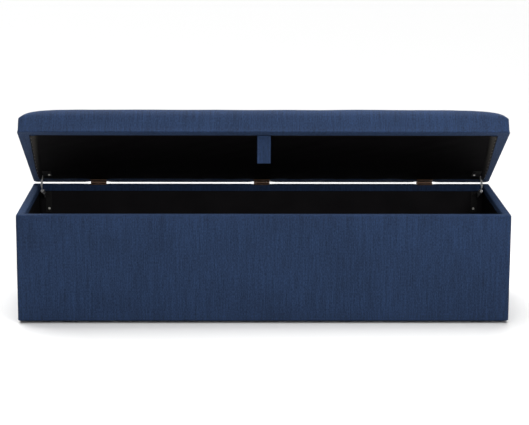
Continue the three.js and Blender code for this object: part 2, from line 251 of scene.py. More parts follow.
def makeWeave():
    finish = Finish("indigoWeave", Roughness=0.92, Sheen_Weight=0.12, Sheen_Roughness=0.45)
    finish.shader.inputs["Sheen Tint"].default_value = rgb(*weave["sheen"])
    finish.shader.inputs["Specular IOR Level"].default_value = weave["shine"]
    cloth = finish.cloth()
    across, up, _ = finish.parts(cloth)
    slub, band, fleck = [finish.noise(cloth, (1 / weave[part][0], 1 / weave[part][1], 1), 3, 0.6)
                         for part in ("slub", "band", "fleck")]
    weft = finish.noise(cloth, (14, 0.9 / weave["thread"], 1), 2)
    turn = 2 * math.pi / weave["thread"]
    warpThread = (across * turn + slub * 3).math("SINE")
    weftThread = (up * turn + weft * 2).math("SINE")
    plain = warpThread * weftThread * 0.5 + 0.5
    cloud = finish.noise(cloth, (5, 5, 1), 2)
    tone = (slub - 0.5) * 1.1 + (band - 0.5) * 0.7 + (weft - 0.5) * 0.4 + (fleck - 0.5) * 1.6
    tone = tone + (cloud - 0.5) * 0.4 + plain * 0.6 + 0.2
    colour = finish.mix(tone, rgb(*weave["deep"]), rgb(*weave["pale"]))
    height = plain * 0.5 + slub * 0.7 + weft * 0.3
    finish.feed(Base_Color=colour, Normal=finish.bump(height, 0.55, weave["relief"]))
    finish.feed(Roughness=0.86 + (slub - 0.5) * 0.14)
    return finish.material


liningCloth = {
    "well": {"deep": (13, 12, 14), "pale": (27, 25, 27), "shine": 0.12},
    # lid: the same black cloth as the well's, made darker and less shiny as painted shade under the lid
    "lid": {
        # the hem colour is painted sheen: the lit look of the strip along each end, also used for a lighter line
        # along the front
        "deep": (2, 1, 2), "pale": (6, 5, 6), "hem": (50, 48, 45),
        "hemWidth": 24 * mm, "hemFade": 14 * mm, "frontLine": 5 * mm,
        "tuckFrom": 1.5 * mm, "tuck": 5 * mm, "shine": 0.05,
    },
}
dimple = 2.6 * mm  # from one dent of the lining cloth to the next


def makeLiningCloth(name):
    look = liningCloth[name]
    finish = Finish(name + "Cloth", Roughness=0.9)
    finish.shader.inputs["Specular IOR Level"].default_value = look["shine"]
    cloth = finish.cloth()
    across, up, _ = finish.parts(cloth)
    turn = 2 * math.pi / dimple
    dots = ((across + up) * turn).math("SINE") * ((across - up) * turn).math("SINE")
    dents = (dots * 0.5 + 0.5) ** 3
    fibres = finish.noise(cloth, (900, 900, 1), 4, 0.7)
    cloud = finish.noise(cloth, (9, 9, 1), 3)
    tone = (cloud - 0.5) * 1.2 + (fibres - 0.5) * 0.9 + 0.35 - dents * 0.2
    colour = finish.mix(tone, rgb(*look["deep"]), rgb(*look["pale"]))
    if "hem" in look:  # painted sheen: a lighter strip along each end, narrowing towards the back as painted falloff of the light and fading at the very end edge, and a lighter line along the front
        edge = finish.node("ShaderNodeUVMap", {"uv_map": "edge"})
        fromEnd, fromFront, _ = finish.parts(edge)
        mottle = finish.noise(cloth, (260, 120, 1), 4, 0.7)
        # the painted sheen strip narrows towards the back, where less light reaches
        wide = look["hemWidth"] * (1.1 - fromFront * 1.6)
        sheenAtEnd = (wide - fromEnd) * (1 / look["hemFade"]) + (mottle - 0.5) * 1.6
        atFront = (look["frontLine"] - fromFront) * (1 / look["hemFade"]) * 2 + (mottle - 0.5)
        tuck = ((fromEnd - look["tuckFrom"]) * (1 / look["tuck"])).held()
        share = sheenAtEnd.math("MAXIMUM", atFront * 0.45).held() * (tuck * 0.85 + 0.15)
        colour = finish.mix(share, colour, rgb(*look["hem"]))
    finish.feed(Base_Color=colour, Normal=finish.bump(fibres * 0.5 - dents, 0.4, 0.3 * mm))
    return finish.material


board = {"deep": (150, 112, 70), "pale": (214, 184, 138), "chips": 260.0, "grain": (60, 400, 400)}


def makeBoard():  # pressed chips of pale wood
    finish = Finish("chipBoard", Roughness=0.75)
    where = finish.place()
    settings = {"voronoi_dimensions": "3D", "feature": "F1"}
    sockets = {"Vector": where, "Scale": board["chips"]}
    chips = finish.node("ShaderNodeTexVoronoi", settings, sockets, "Color")
    tone, other, _ = finish.parts(chips)
    grain = finish.noise(where, board["grain"], 4)
    share = tone * 0.6 + (grain - 0.5) * 0.8 + other * 0.2
    colour = finish.mix(share, rgb(*board["deep"]), rgb(*board["pale"]))
    finish.feed(Base_Color=colour, Normal=finish.bump(tone + grain * 0.4, 0.35, 0.4 * mm))
    finish.feed(Roughness=0.68 + tone * 0.2)
    return finish.material


foam = {"pale": (244, 236, 198), "deep": (206, 190, 136), "pores": 700.0}


def makeFoam():
    finish = Finish("foam", Roughness=0.95)
    where = finish.place()
    sockets = {"Vector": where, "Scale": foam["pores"]}
    pores = finish.node("ShaderNodeTexVoronoi", {"feature": "F1"}, sockets, "Distance")
    cloud = finish.noise(where, (12, 12, 12), 2)
    colour = finish.mix(pores * 0.9 + (cloud - 0.5) * 0.4, rgb(*foam["pale"]), rgb(*foam["deep"]))
    finish.feed(Base_Color=colour, Normal=finish.bump(pores, 0.6, 0.6 * mm))
    return finish.material


metals = {
    "bronze": {"deep": (40, 28, 22), "pale": (98, 74, 58), "rough": 0.45, "metal": 0.55},
    "steel": {"deep": (128, 128, 130), "pale": (206, 206, 206), "rough": 0.38, "metal": 0.25},
    # screw heads nearly white and only a little metallic, so that they show as bright dots against the dark:
    # painted glint
    "screw": {"deep": (190, 188, 182), "pale": (240, 238, 232), "rough": 0.25, "metal": 0.25},
    # near black, for the stay brackets and the second screw of each stay: painted shade where these sit in the
    # dark of the well and under the lid
    "blackened": {"deep": (5, 5, 5), "pale": (16, 15, 15), "rough": 0.6, "metal": 0.1, "shine": 0.2},
}


def makeMetal(name):
    look = metals[name]
    finish = Finish(name + "Metal", Metallic=look["metal"])
    finish.shader.inputs["Specular IOR Level"].default_value = look.get("shine", 0.5)
    where = finish.place()
    cloud = finish.noise(where, (90, 90, 90), 4, 0.65)
    fine = finish.noise(where, (1600, 1600, 1600), 2)
    brushed = finish.noise(where, (2400, 60, 2400), 2)
    pointed = finish.node("ShaderNodeNewGeometry", output="Pointiness")
    stops = [(0.5, (0, 0, 0)), (0.58, (1, 1, 1))]       # bright where an edge has been rubbed
    wear = finish.node("ShaderNodeValToRGB", {"stops": stops}, {"Fac": pointed})
    tone = (cloud - 0.5) * 1.6 + (fine - 0.5) * 0.5 + 0.3 + wear * 0.6
    colour = finish.mix(tone, rgb(*look["deep"]), rgb(*look["pale"]))
    rough = look["rough"] + (cloud - 0.5) * 0.3 + (brushed - 0.5) * 0.15
    finish.feed(Base_Color=colour, Roughness=rough)
    finish.feed(Normal=finish.bump(brushed * 0.6 + fine * 0.4, 0.12, 0.1 * mm))
    return finish.material


plastic = {"deep": (18, 18, 20), "pale": (46, 46, 49)}


def makePlastic():
    finish = Finish("mouldedPlastic", Roughness=0.45)
    where = finish.place()
    grain = finish.noise(where, (1300, 1300, 1300), 3)
    scuff = finish.noise(where, (60, 60, 400), 4)
    colour = finish.mix(scuff * 1.4 - 0.4, rgb(*plastic["deep"]), rgb(*plastic["pale"]))
    finish.feed(Base_Color=colour, Roughness=0.35 + scuff * 0.35)
    finish.feed(Normal=finish.bump(grain, 0.2, 0.1 * mm))
    return finish.material


thread = {"deep": (20, 34, 62), "pale": (62, 82, 122)}


def makeThread():
    finish = Finish("sewingThread", Roughness=0.6)
    where = finish.place()
    twist = finish.noise(where, (2600, 2600, 900), 2)
    colour = finish.mix(twist * 1.6 - 0.3, rgb(*thread["deep"]), rgb(*thread["pale"]))
    finish.feed(Base_Color=colour, Normal=finish.bump(twist, 0.4, 0.1 * mm))
    return finish.material


def makeFloor():
    finish = Finish("paleFloor", Roughness=0.8)
    finish.shader.inputs["Base Color"].default_value = (*[light["floor"]] * 3, 1)
    return finish.material


finishes = {
    "blue_fabric": makeWeave(),
    "black_lining": makeLiningCloth("well"),
    "board": makeBoard(),
    "foam": makeFoam(),
    "bronze_hinge": makeMetal("bronze"),
    "stay_steel": makeMetal("steel"),
    "bright_screw": makeMetal("screw"),
    "black_plastic": makePlastic(),
}
# a darker copy of the lining cloth for the lid: painted shade
lidLiningShaded = makeLiningCloth("lid")
threadBlue = makeThread()
blackened = makeMetal("blackened")
print("stage: finishes made")


def newPiece(name, points, faces, slot, clothUv=None, edgeUv=None):
    mesh = bpy.data.meshes.new(name)
    mesh.from_pydata(np.asarray(points).tolist(), [], faces)
    for layerName, measures in (("cloth", clothUv), ("edge", edgeUv)):
        if measures is not None:
            layer = mesh.uv_layers.new(name=layerName)
            layer.data.foreach_set("uv", np.asarray(measures, np.float32).ravel())
    mesh.polygons.foreach_set("use_smooth", [True] * len(mesh.polygons))
    mesh.materials.append(finishes[slot])
    mesh.update()
    piece = bpy.data.objects.new(name, mesh)
    bpy.context.scene.collection.objects.link(piece)
    return piece


def gridPiece(name, points, across, up, slot, closed=False, flip=False, edge=None):
    # points is rows x columns x 3; across and up are the cloth's own measures at each point
    rows, columns, _ = points.shape
    faces, uvs, edges = [], [], []
    last = columns if closed else columns - 1
    for row in range(rows - 1):
        for column in range(last):
            nextColumn = (column + 1) % columns
            corners = [(row, column, column), (row, nextColumn, column + 1),
                       (row + 1, nextColumn, column + 1), (row + 1, column, column)]
            if flip:
                corners.reverse()
            faces.append([r * columns + c for r, c, _ in corners])
            uvs.extend((across[r, u], up[r, min(u, up.shape[1] - 1)]) for r, _, u in corners)
            if edge is not None:
                edges.extend((edge[0][r, c], edge[1][r, c]) for r, c, _ in corners)
    return newPiece(name, points.reshape(-1, 3), faces, slot, uvs, edges or None)


def modifier(piece, name, kind, **settings):
    made = piece.modifiers.new(name, kind)
    for key, value in settings.items():
        setattr(made, key, value)
    return made


waveCount = 9


def ripples(first, second, lengths, seed):
    # smooth random waves over two coordinates, about -1 to 1, of the wavelengths given
    draw = np.random.default_rng(seed)
    total = np.zeros(np.broadcast(first, second).shape)
    for _ in range(waveCount):
        length = draw.uniform(*lengths)
        heading = draw.uniform(0, math.tau)
        along = first * math.cos(heading) + second * math.sin(heading)
        total += np.sin(along * math.tau / length + draw.uniform(0, math.tau))
    return total / math.sqrt(waveCount) * 0.8


stitch = {"sides": 6, "steps": 6, "least": 0.06, "lift": 1.6, "sink": 0.6, "flat": 0.8}


def stitchRow(path, outward, radius):
    # short raised threads, one from each start to its end, each a flattened spindle
    points, faces = [], []
    sides, steps, least = stitch["sides"], stitch["steps"], stitch["least"]
    for start, end in path:
        start, end, out = Vector(start), Vector(end), Vector(outward)
        along = end - start
        side = along.normalized().cross(out)
        base = len(points)
        for share in np.linspace(0, 1, steps + 1):
            fat = radius * math.sin(math.pi * min(max(share, least), 1 - least)) ** 0.5
            lift = radius * stitch["lift"] * math.sin(math.pi * share) - radius * stitch["sink"]
            centre = start + along * share + out * lift
            for corner in range(sides):
                turn = math.tau * corner / sides
                offset = side * fat * math.cos(turn) + out * fat * stitch["flat"] * math.sin(turn)
                points.append(tuple(centre + offset))
        for step in range(steps):
            for corner in range(sides):
                a = base + step * sides + corner
                b = base + step * sides + (corner + 1) % sides
                faces.append([a, b, b + sides, a + sides])
        faces.append([base + corner for corner in range(sides)][::-1])
        faces.append([base + steps * sides + corner for corner in range(sides)])
    return points, faces


def arc(centre, radius, start, end, steps):
    angles = np.radians(np.linspace(start, end, steps))
    return [(centre[0] + radius * math.cos(a), centre[1] + radius * math.sin(a)) for a in angles]


def ring(halfX, halfY, radius, counts):
    # points round a rounded rectangle, anticlockwise from above, from its rear left corner
    alongX, alongY, bendSteps = counts
    bends = []
    for sx, sy, start in ((-1, 1, 90), (-1, -1, 180), (1, -1, 270), (1, 1, 0)):
        centre = (sx * (halfX - radius), sy * (halfY - radius))
        bends.append(arc(centre, radius, start, start + 90, bendSteps + 1))
    points = []
    for corner, side in enumerate((alongY, alongX, alongY, alongX)):
        points.extend(bends[corner])
        start, end = np.array(bends[corner][-1]), np.array(bends[(corner + 1) % 4][0])
        points.extend(tuple(start + (end - start) * k / side) for k in range(1, side))
    return np.array(points)


def cornerMiddles(counts):
    # where each of a ring's corners has its middle point
    alongX, alongY, bendSteps = counts
    runs = (0, alongY, alongX, alongY)
    starts = np.cumsum([bendSteps * (corner > 0) + run for corner, run in enumerate(runs)])
    return [int(start) + bendSteps // 2 for start in starts]


def lengthRound(points):
    ahead = np.roll(points, -1, axis=0)
    steps = np.hypot(*(ahead - points).T)
    return np.concatenate([[0], np.cumsum(steps)])


def lengthAlong(points):
    steps = np.hypot(*np.diff(points, axis=0).T)
    return np.concatenate([[0], np.cumsum(steps)])


lidHinge = next(joint for joint in frame["joints"] if joint["name"] == "lid_hinge")
hingeAt = Vector(lidHinge["pos_m"])
boardFace = max(nodes["lid_board"].data.polygons, key=lambda face: face.area).normal
lidUp = Vector(boardFace) * (1 if boardFace.z > 0 else -1)
lidTilt = math.atan2(lidUp.y, lidUp.z)
lidPlace = Matrix.Translation(hingeAt) @ Matrix.Rotation(-lidTilt, 4, "X")


def lidPoints(node):      # a CAD node's points, with the lid laid flat at the origin
    back = lidPlace.inverted()
    return np.array([back @ vertex.co for vertex in nodes[node].data.vertices])


def lidBox(node):  # its lowest and highest corner there
    points = lidPoints(node)
    return Vector(points.min(0)), Vector(points.max(0))


def onLid(piece):
    piece.matrix_world = lidPlace
    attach(piece, "lid")


box = {
    "corner": 8 * mm,
    "bottomRound": 5 * mm,
    "rimRound": 4.5 * mm,
    "rimCrown": 1.6 * mm,
    "rimEase": 0.38,  # share of the crown away from the back
    "innerRound": 4 * mm,
    "cloth": 1.2 * mm,        # thickness of the fabric
    "softness": 0.45 * mm,    # how far the wadding swells
    "waves": (0.12, 0.5),     # shortest and longest wave of the swell
    "seam": 1.1 * mm,
    "seamWidth": 1.6 * mm,
    "under": 26 * mm,
    "hemRound": 1.1 * mm,     # the roll at the turned-in edge inside the rim
    "inside": 4 * mm,  # how far the rim reaches in past the lining's face
    "clear": 0.3 * mm,
    "calm": 0.03,  # the swell starts this far from an edge
    "press": 0.62,  # how far a hinge leaf presses the rim, in leaf widths
    "counts": (230, 80, 8),   # steps along X, along Y and round a corner
}


def boxSection(width, low, high, depth):
    # (inset, height) from the turned-under edge, up the outside, over the rim and down inside
    bottom, rim, inside, hem = (box[name] for name in ("bottomRound", "rimRound", "innerRound", "hemRound"))
    points = [(t, low) for t in np.linspace(box["under"], bottom + 2 * mm, 5)]
    points += arc((bottom, low + bottom), bottom, 270, 180, 6)
    points += [(0, z) for z in np.linspace(low + bottom, high - rim, 46)[1:-1]]
    points += arc((rim, high - rim), rim, 180, 90, 7)
    points += [(t, high) for t in np.linspace(rim, width - inside, 5)[1:-1]]
    points += arc((width - inside, high - inside), inside, 90, 0, 6)
    points += [(width, z) for z in np.linspace(high - inside, high - depth + hem + 0.1 * mm, 6)[1:]]
    points += arc((width - hem, high - depth + hem), hem, 0, -180, 6)
    points += [(width - 2 * hem, high - depth + 6 * mm)]
    return np.array(points)


def makeBaseCover():
    low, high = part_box("base_cover")
    liningLow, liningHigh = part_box("lining_front")
    rimWidth = liningLow.y - low.y + box["inside"]
    turnIn = high.z - liningHigh.z - box["clear"]
    section = boxSection(rimWidth, low.z, high.z, turnIn)
    halfX, halfY = (high.x - low.x) / 2, (high.y - low.y) / 2
    middle = (low + high) / 2
    counts = box["counts"]
    outer = ring(halfX, halfY, box["corner"], counts)
    around = lengthRound(outer)
    run = lengthAlong(section)
    rows = []
    for inset, height in section:
        radius = max(box["corner"] - inset, tightest)
        loop = ring(halfX - inset, halfY - inset, radius, counts)
        rows.append(np.column_stack([loop + [middle.x, middle.y], np.full(len(loop), height)]))
    points = np.array(rows)
    across = np.tile(around, (len(section), 1))
    up = np.tile(run[:, None], (1, len(around)))
    # wadding: a slow swell on the outside, and the rim crowned between its edges
    outward = np.roll(outer, -1, 0) - np.roll(outer, 1, 0)
    outward = np.column_stack([outward[:, 1], -outward[:, 0]])
    outward /= np.linalg.norm(outward, axis=1)[:, None]
    z = points[:, :, 2]
    face = np.clip((z - low.z) / box["calm"], 0, 1) * np.clip((high.z - z) / box["calm"], 0, 1)
    isOutside = (section[:, 0] < box["rimRound"])[:, None]
    swell = ripples(across[:, :-1], up[:, :-1], box["waves"], 3) * box["softness"] * face * isOutside
    cornerAt = [around[index] for index in cornerMiddles(counts)]
    seam = sum(np.exp(-((around[:-1] - at) / box["seamWidth"]) ** 2) for at in cornerAt)
    swell = swell - isOutside * seam[None, :] * box["seam"] * np.minimum(face * 3, 1)
    points[:, :, 0] += swell * outward[None, :, 0]
    points[:, :, 1] += swell * outward[None, :, 1]
    insets = section[:, 0][:, None]
    isRim = (z > high.z - 4 * mm) & (insets > 0)
    crown = np.sin(np.clip(insets / rimWidth, 0, 1) * math.pi) * box["rimCrown"]
    pressed = np.zeros_like(z)
    for side in hingeNames:
        first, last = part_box(f"hinge_{side}_box_leaf")
        apart = (points[:, :, 0] - (first.x + last.x) / 2) / ((last.x - first.x) * box["press"])
        pressed += np.exp(-apart ** 8) * (points[:, :, 1] > 0)
    fuller = np.where(points[:, :, 1] > high.y - rimWidth * 1.1, 1, box["rimEase"])
    raised = (crown + 0.2 * mm) * fuller * (1 - pressed) - box["clear"] * pressed
    points[:, :, 2] += np.where(isRim, raised, 0)
    piece = gridPiece("baseCover", points, across, up, "blue_fabric", closed=True)
    modifier(piece, "thickness", "SOLIDIFY", thickness=box["cloth"], offset=-1)
    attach(piece, "box")
    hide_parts("base_cover")


lining = {
    "cloth": 1.0 * mm,
    "slack": 1.1 * mm,        # how far the cloth stands off the board
    "waves": (0.05, 0.3),
    "spacing": 12 * mm,       # between the sheet's points
    "margin": 40 * mm,        # the slack grows over this width from each edge
    "clear": 0.35 * mm,
    "behindRim": 8 * mm,
    "tuck": 5 * mm,  # how far it runs up behind the rim's turned-in edge
    "lap": 2.1 * mm,  # how far the upright ones reach down past the floor's
    "over": {
        "lining_front": "front_panel", "lining_back": "back_panel", "lining_left": "left_panel",
        "lining_right": "right_panel", "lining_floor": "base_board", "dust_cover": "base_board",
    },
}


def liningSheet(name, node, seed):
    low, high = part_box(node)
    size = high - low
    thin = min(range(3), key=lambda axis: size[axis])
    flat = [axis for axis in range(3) if axis != thin]
    upright = 2 in flat
    steps = [max(int(size[axis] / lining["spacing"]), 8) for axis in flat]
    first = np.linspace(low[flat[0]], high[flat[0]], steps[0])
    top = high[flat[1]] + (lining["tuck"] if upright else 0)
    bottom = low[flat[1]] - (lining["lap"] if upright else 0)
    second = np.linspace(bottom, top, steps[1])
    a, b = np.meshgrid(first, second)
    outside = 1 if node in ("lining_back", "lining_right", "dust_cover") else -1
    boardSide = low[thin] if outside < 0 else high[thin]
    edge = np.minimum.reduce([a - first[0], first[-1] - a, b - second[0], second[-1] - b])
    away = np.clip(edge / lining["margin"], 0, 1)
    loose = (0.55 + 0.45 * ripples(a, b, lining["waves"], seed)) * lining["slack"]
    lift = loose * away + lining["clear"]
    if upright:
        behind = lining["behindRim"]
        lift = lift * (1 - np.clip((b - high[flat[1]] + behind) / behind, 0, 1) * 0.7)
    points = np.zeros((*a.shape, 3))
    points[:, :, flat[0]] = a
    points[:, :, flat[1]] = b
    points[:, :, thin] = boardSide - outside * lift
    piece = gridPiece(name, points, a, b, "black_lining", flip=True)
    modifier(piece, "thickness", "SOLIDIFY", thickness=lining["cloth"] * 0.4, offset=0)
    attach(piece, "box")
    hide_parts(node)


staple = {"length": 9 * mm, "every": 62 * mm, "inset": 9 * mm, "wire": 0.45 * mm, "sink": 0.3 * mm}


def makeStaples(name, path):
    points, faces = stitchRow(path, (0, 0, -1), staple["wire"])
    return newPiece(name, points, faces, "stay_steel")


def makeDustStaples():
    low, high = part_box("dust_cover")
    inset, length, below = staple["inset"], staple["length"], low.z - 0.5 * mm
    path = []
    for y in (low.y + inset, high.y - inset):
        for x in np.arange(low.x + 4 * inset, high.x - 4 * inset, staple["every"]):
            path.append(((x, y, below), (x + length, y, below)))
    for x in (low.x + inset, high.x - inset):
        for y in np.arange(low.y + 4 * inset, high.y - 4 * inset, staple["every"]):
            path.append(((x, y, below), (x, y + length, below)))
    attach(makeStaples("dustStaples", path), "box")


settleCloth = {
    "settings": {
        "quality": 5, "mass": 0.25, "tension_stiffness": 14, "compression_stiffness": 8,
        "shear_stiffness": 4, "bending_stiffness": 0.3, "shrink_min": -0.006,
        "use_pressure": True, "uniform_pressure_force": 4,
    },
    "frames": 20,
    "share": 0.6,  # of the movement that is kept
    "cap": 2.5 * mm,
    "heldBelow": 7 * mm,
}
lid = {
    "edge": 50 * mm,  # height of the upright sides, from the hinge pin
    "rise": 34 * mm,  # from there to the shoulder
    "crown": 7 * mm,  # from the shoulder to the middle
    "frontRound": 36 * mm,
    "endFall": ((17, 13 * mm), (15, 60 * mm)),   # weight and reach of the curves down to each end
    "corner": 15 * mm,
    "bottomRound": 2.5 * mm,
    "sideInset": 1.5 * mm,
    "closeSteps": (1, 2.5, 4.5, 7, 10, 14, 19, 25, 32, 40),   # points near an edge, in mm from it
    "steps": (14 * mm, 12 * mm),  # between the others, along X and Y
    "belly": 0.5 * mm,
    "underSwell": 3.0 * mm,   # how far the cloth on the underside stands below the board
    "swellWidth": (12 * mm, 26 * mm),  # full this far in, then gone over this
    "swellAlong": ((0, 0.15, 0.45), (1, 0.5, 0.045)),  # its share at distances from the back
    "press": 0.62,  # how far a hinge leaf presses it, in leaf widths
    "bracketPress": 8 * mm,
    "waves": 0.7 * mm,
    "waveLengths": (0.09, 0.4),
    "pleat": (0.7 * mm, 40 * mm, 22 * mm),  # height, distance from the corner and width
    "seam": 0.9 * mm,
    "seamWidth": 1.8 * mm,
    "cloth": 1.4 * mm,
    "under": 46 * mm,
}


def spread(half, step):
    # places from one edge to the other: close together at the edges, even in the middle
    near = np.array(lid["closeSteps"]) * mm
    inner = half - near[-1]
    even = np.linspace(near[-1], half, max(int(inner / step), 3) + 1)[1:]
    fromEdge = np.concatenate([[0], near, even])
    left = -half + fromEdge
    return np.concatenate([left, -left[::-1][1:]])


def easeSide(distance):
    share = np.clip(1 - distance / lid["frontRound"], 0, 1)
    return np.sqrt(np.maximum(1 - share ** 2, 0))


def easeEnd(distance):
    total = sum(weight for weight, _ in lid["endFall"])
    return 1 - sum(weight * np.exp(-distance / reach) for weight, reach in lid["endFall"]) / total


def roundPlan(x, y, halfX, halfY, radius):
    # a rectangle's points, moved so that its corners are round
    ax = np.clip((np.abs(x) - (halfX - radius)) / radius, 0, 1)
    ay = np.clip((np.abs(y) - (halfY - radius)) / radius, 0, 1)
    far = np.maximum(ax, ay)
    long = np.maximum(np.hypot(ax, ay), 1e-9)
    isCorner = (ax > 0) & (ay > 0)
    newX = np.where(isCorner, np.sign(x) * (halfX - radius + radius * ax / long * far), x)
    newY = np.where(isCorner, np.sign(y) * (halfY - radius + radius * ay / long * far), y)
    return newX, newY


def loafTop(xs, ys, halfX, halfY, drop):
    x, y = np.meshgrid(xs, ys)
    fromEnd = halfX - np.abs(x)
    fromSide = halfY - np.abs(y)
    swell = easeEnd(fromEnd) * easeSide(fromSide)
    bow = easeEnd(fromEnd) * (1 - (y / halfY) ** 2)
    height = lid["edge"] + (lid["rise"] - drop) * swell + lid["crown"] * bow
    if not drop:
        calm = np.clip(np.minimum(fromEnd, fromSide) / 0.03, 0, 1)
        height += ripples(x, y, lid["waveLengths"], 5) * lid["waves"] * calm
        tall, away, wide = lid["pleat"]  # short pleats that fan in from each corner
        corner = np.hypot(fromEnd, fromSide)
        fan = np.cos(np.arctan2(fromSide, fromEnd + 1e-6) * 10)
        height += fan * tall * np.exp(-((corner - away) / wide) ** 2)
    plan = roundPlan(x, y, halfX, halfY, lid["corner"])
    return np.stack([*plan, height], axis=-1)


def fromMiddle(steps):      # running lengths down each column, measured from the middle row
    run = np.vstack([np.zeros(steps.shape[1]), np.cumsum(steps, axis=0)])
    return run - run[len(run) // 2]


def borderOrder(rows, columns):
    # the grid's outside points in order, anticlockwise from its first point
    bottom = [(0, c) for c in range(columns)]
    right = [(r, columns - 1) for r in range(1, rows)]
    top = [(rows - 1, c) for c in range(columns - 2, -1, -1)]
    left = [(r, 0) for r in range(rows - 2, 0, -1)]
    return bottom + right + top + left


def makeLoaf(name, slot, inset, drop, skirt, closed=False):
    # the crowned top as a grid, with rings below it for the sides and what is turned under
    low, high = lidBox("lid_cover")
    halfX = (high.x - low.x) / 2 - lid["sideInset"] - inset
    halfY = (high.y - low.y) / 2 - inset
    middle = (low + high) / 2
    xs, ys = (spread(half, step) for half, step in zip((halfX, halfY), lid["steps"]))
    top = loafTop(xs, ys, halfX, halfY, drop)
    rows, columns = top.shape[:2]
    order = borderOrder(rows, columns)
    points, faces, uvs = [top.reshape(-1, 3)], [], []
    across = fromMiddle(np.linalg.norm(np.diff(top, axis=1), axis=2).T).T
    up = fromMiddle(np.linalg.norm(np.diff(top, axis=0), axis=2))
    for r in range(rows - 1):
        for c in range(columns - 1):
            corners = [(r, c), (r, c + 1), (r + 1, c + 1), (r + 1, c)]
            faces.append([a * columns + b for a, b in corners])
            uvs.extend((across[a, b], up[a, b]) for a, b in corners)
    edgeX = np.array([xs[c] for _, c in order])
    edgeY = np.array([ys[r] for r, _ in order])
    above = [r * columns + c for r, c in order]
    count, total = rows * columns, len(order)
    edgeUv = np.array([(across[place], up[place]) for place in order])
    runs = (((0, -1), columns), ((1, 0), rows), ((0, 1), columns), ((-1, 0), rows))
    sides = np.array([way for way, steps in runs for _ in range(steps - 1)])
    fall, last = 0.0, (0.0, lid["edge"])
    for ringInset, height in skirt:
        scaleX, scaleY = (halfX - ringInset) / halfX, (halfY - ringInset) / halfY
        radius = max(lid["corner"] - ringInset, tightest)
        x, y = roundPlan(edgeX * scaleX, edgeY * scaleY, halfX - ringInset, halfY - ringInset, radius)
        points.append(np.column_stack([x, y, np.full(total, height)]))
        below = list(range(count, count + total))
        nextFall = fall + math.hypot(ringInset - last[0], height - last[1])
        for k in range(total):
            n = (k + 1) % total
            faces.append([above[k], below[k], below[n], above[n]])
            here, there = sides[k] * fall, sides[k] * nextFall
            uvs.extend([edgeUv[k] + here, edgeUv[k] + there, edgeUv[n] + there, edgeUv[n] + here])
        above, count, fall, last = below, count + total, nextFall, (ringInset, height)
    points = np.concatenate(points)
    points[:, 0] += middle.x
    points[:, 1] += middle.y
    if closed:
        faces.append(above)
        uvs.extend((0, 0) for _ in above)
    else:
        seamCorners(points, halfX, halfY, middle)
        swellUnder(points)
    return newPiece(name, points, faces, slot, uvs)


def seamCorners(points, halfX, halfY, middle):
    # a seam up each corner: a narrow valley
    x, y = np.abs(points[:, 0] - middle.x), np.abs(points[:, 1] - middle.y)
    side = (halfX - x) - (halfY - y)
    near = np.hypot(np.maximum(halfX - x, 0), np.maximum(halfY - y, 0))
    onSide = np.clip((lid["edge"] + 16 * mm - points[:, 2]) / (8 * mm), 0, 1)
    depth = lid["seam"] * np.exp(-(side / lid["seamWidth"]) ** 2) * (near < 12 * mm) * onSide
    inward = np.column_stack([middle.x - points[:, 0], (middle.y - points[:, 1]) * halfX / halfY])
    inward /= np.maximum(np.linalg.norm(inward, axis=1), 1e-9)[:, None]
    points[:, :2] += inward * depth[:, None]


def lidSkirt(floor):
    # (inset, height) down the sides, round the bottom edge and in under the lid
    bottom = lid["bottomRound"]
    points = []
    for z in np.linspace(lid["edge"], floor + bottom, 9)[1:-1]:
        share = (lid["edge"] - z) / (lid["edge"] - floor)
        points.append((-lid["belly"] * math.sin(share * math.pi), z))
    points += arc((bottom, floor + bottom), bottom, 180, 270, 5)
    points += [(t, floor) for t in np.linspace(bottom, 10 * mm, 3)[1:]]
    points += [(t, floor + (t - 10 * mm) * 0.02) for t in np.linspace(15 * mm, lid["under"], 8)]
    return points


def swellUnder(points):
    # the wadding stands below the board along the borders, pressed flat where metal is fixed to it
    low, high = lidBox("lid_cover")
    full, gone = lid["swellWidth"]
    x, y, z = points.T
    fromSide = np.minimum(y - low.y, high.y - y)
    fromEdge = np.minimum(fromSide, np.minimum(x - low.x, high.x - x))
    share = np.clip((15 * mm - z) / (10 * mm), 0, 1) * np.clip((full + gone - fromEdge) / gone, 0, 1)
    share = share * np.interp(high.y - y, *lid["swellAlong"])
    for side in hingeNames:
        first, last = lidBox(f"hinge_{side}_lid_leaf")
        apart = (x - (first.x + last.x) / 2) / ((last.x - first.x) * lid["press"])
        share = share * (1 - np.exp(-apart ** 8))
    for side in handed:
        first, last = lidBox(f"stay_{side}_lid_bracket")
        apartX = np.maximum(first.x - x, x - last.x)
        apartY = np.maximum(first.y - y, y - last.y)
        share = share * np.clip(np.maximum(apartX, apartY) / lid["bracketPress"], 0, 1)
    points[:, 2] -= share * lid["underSwell"]


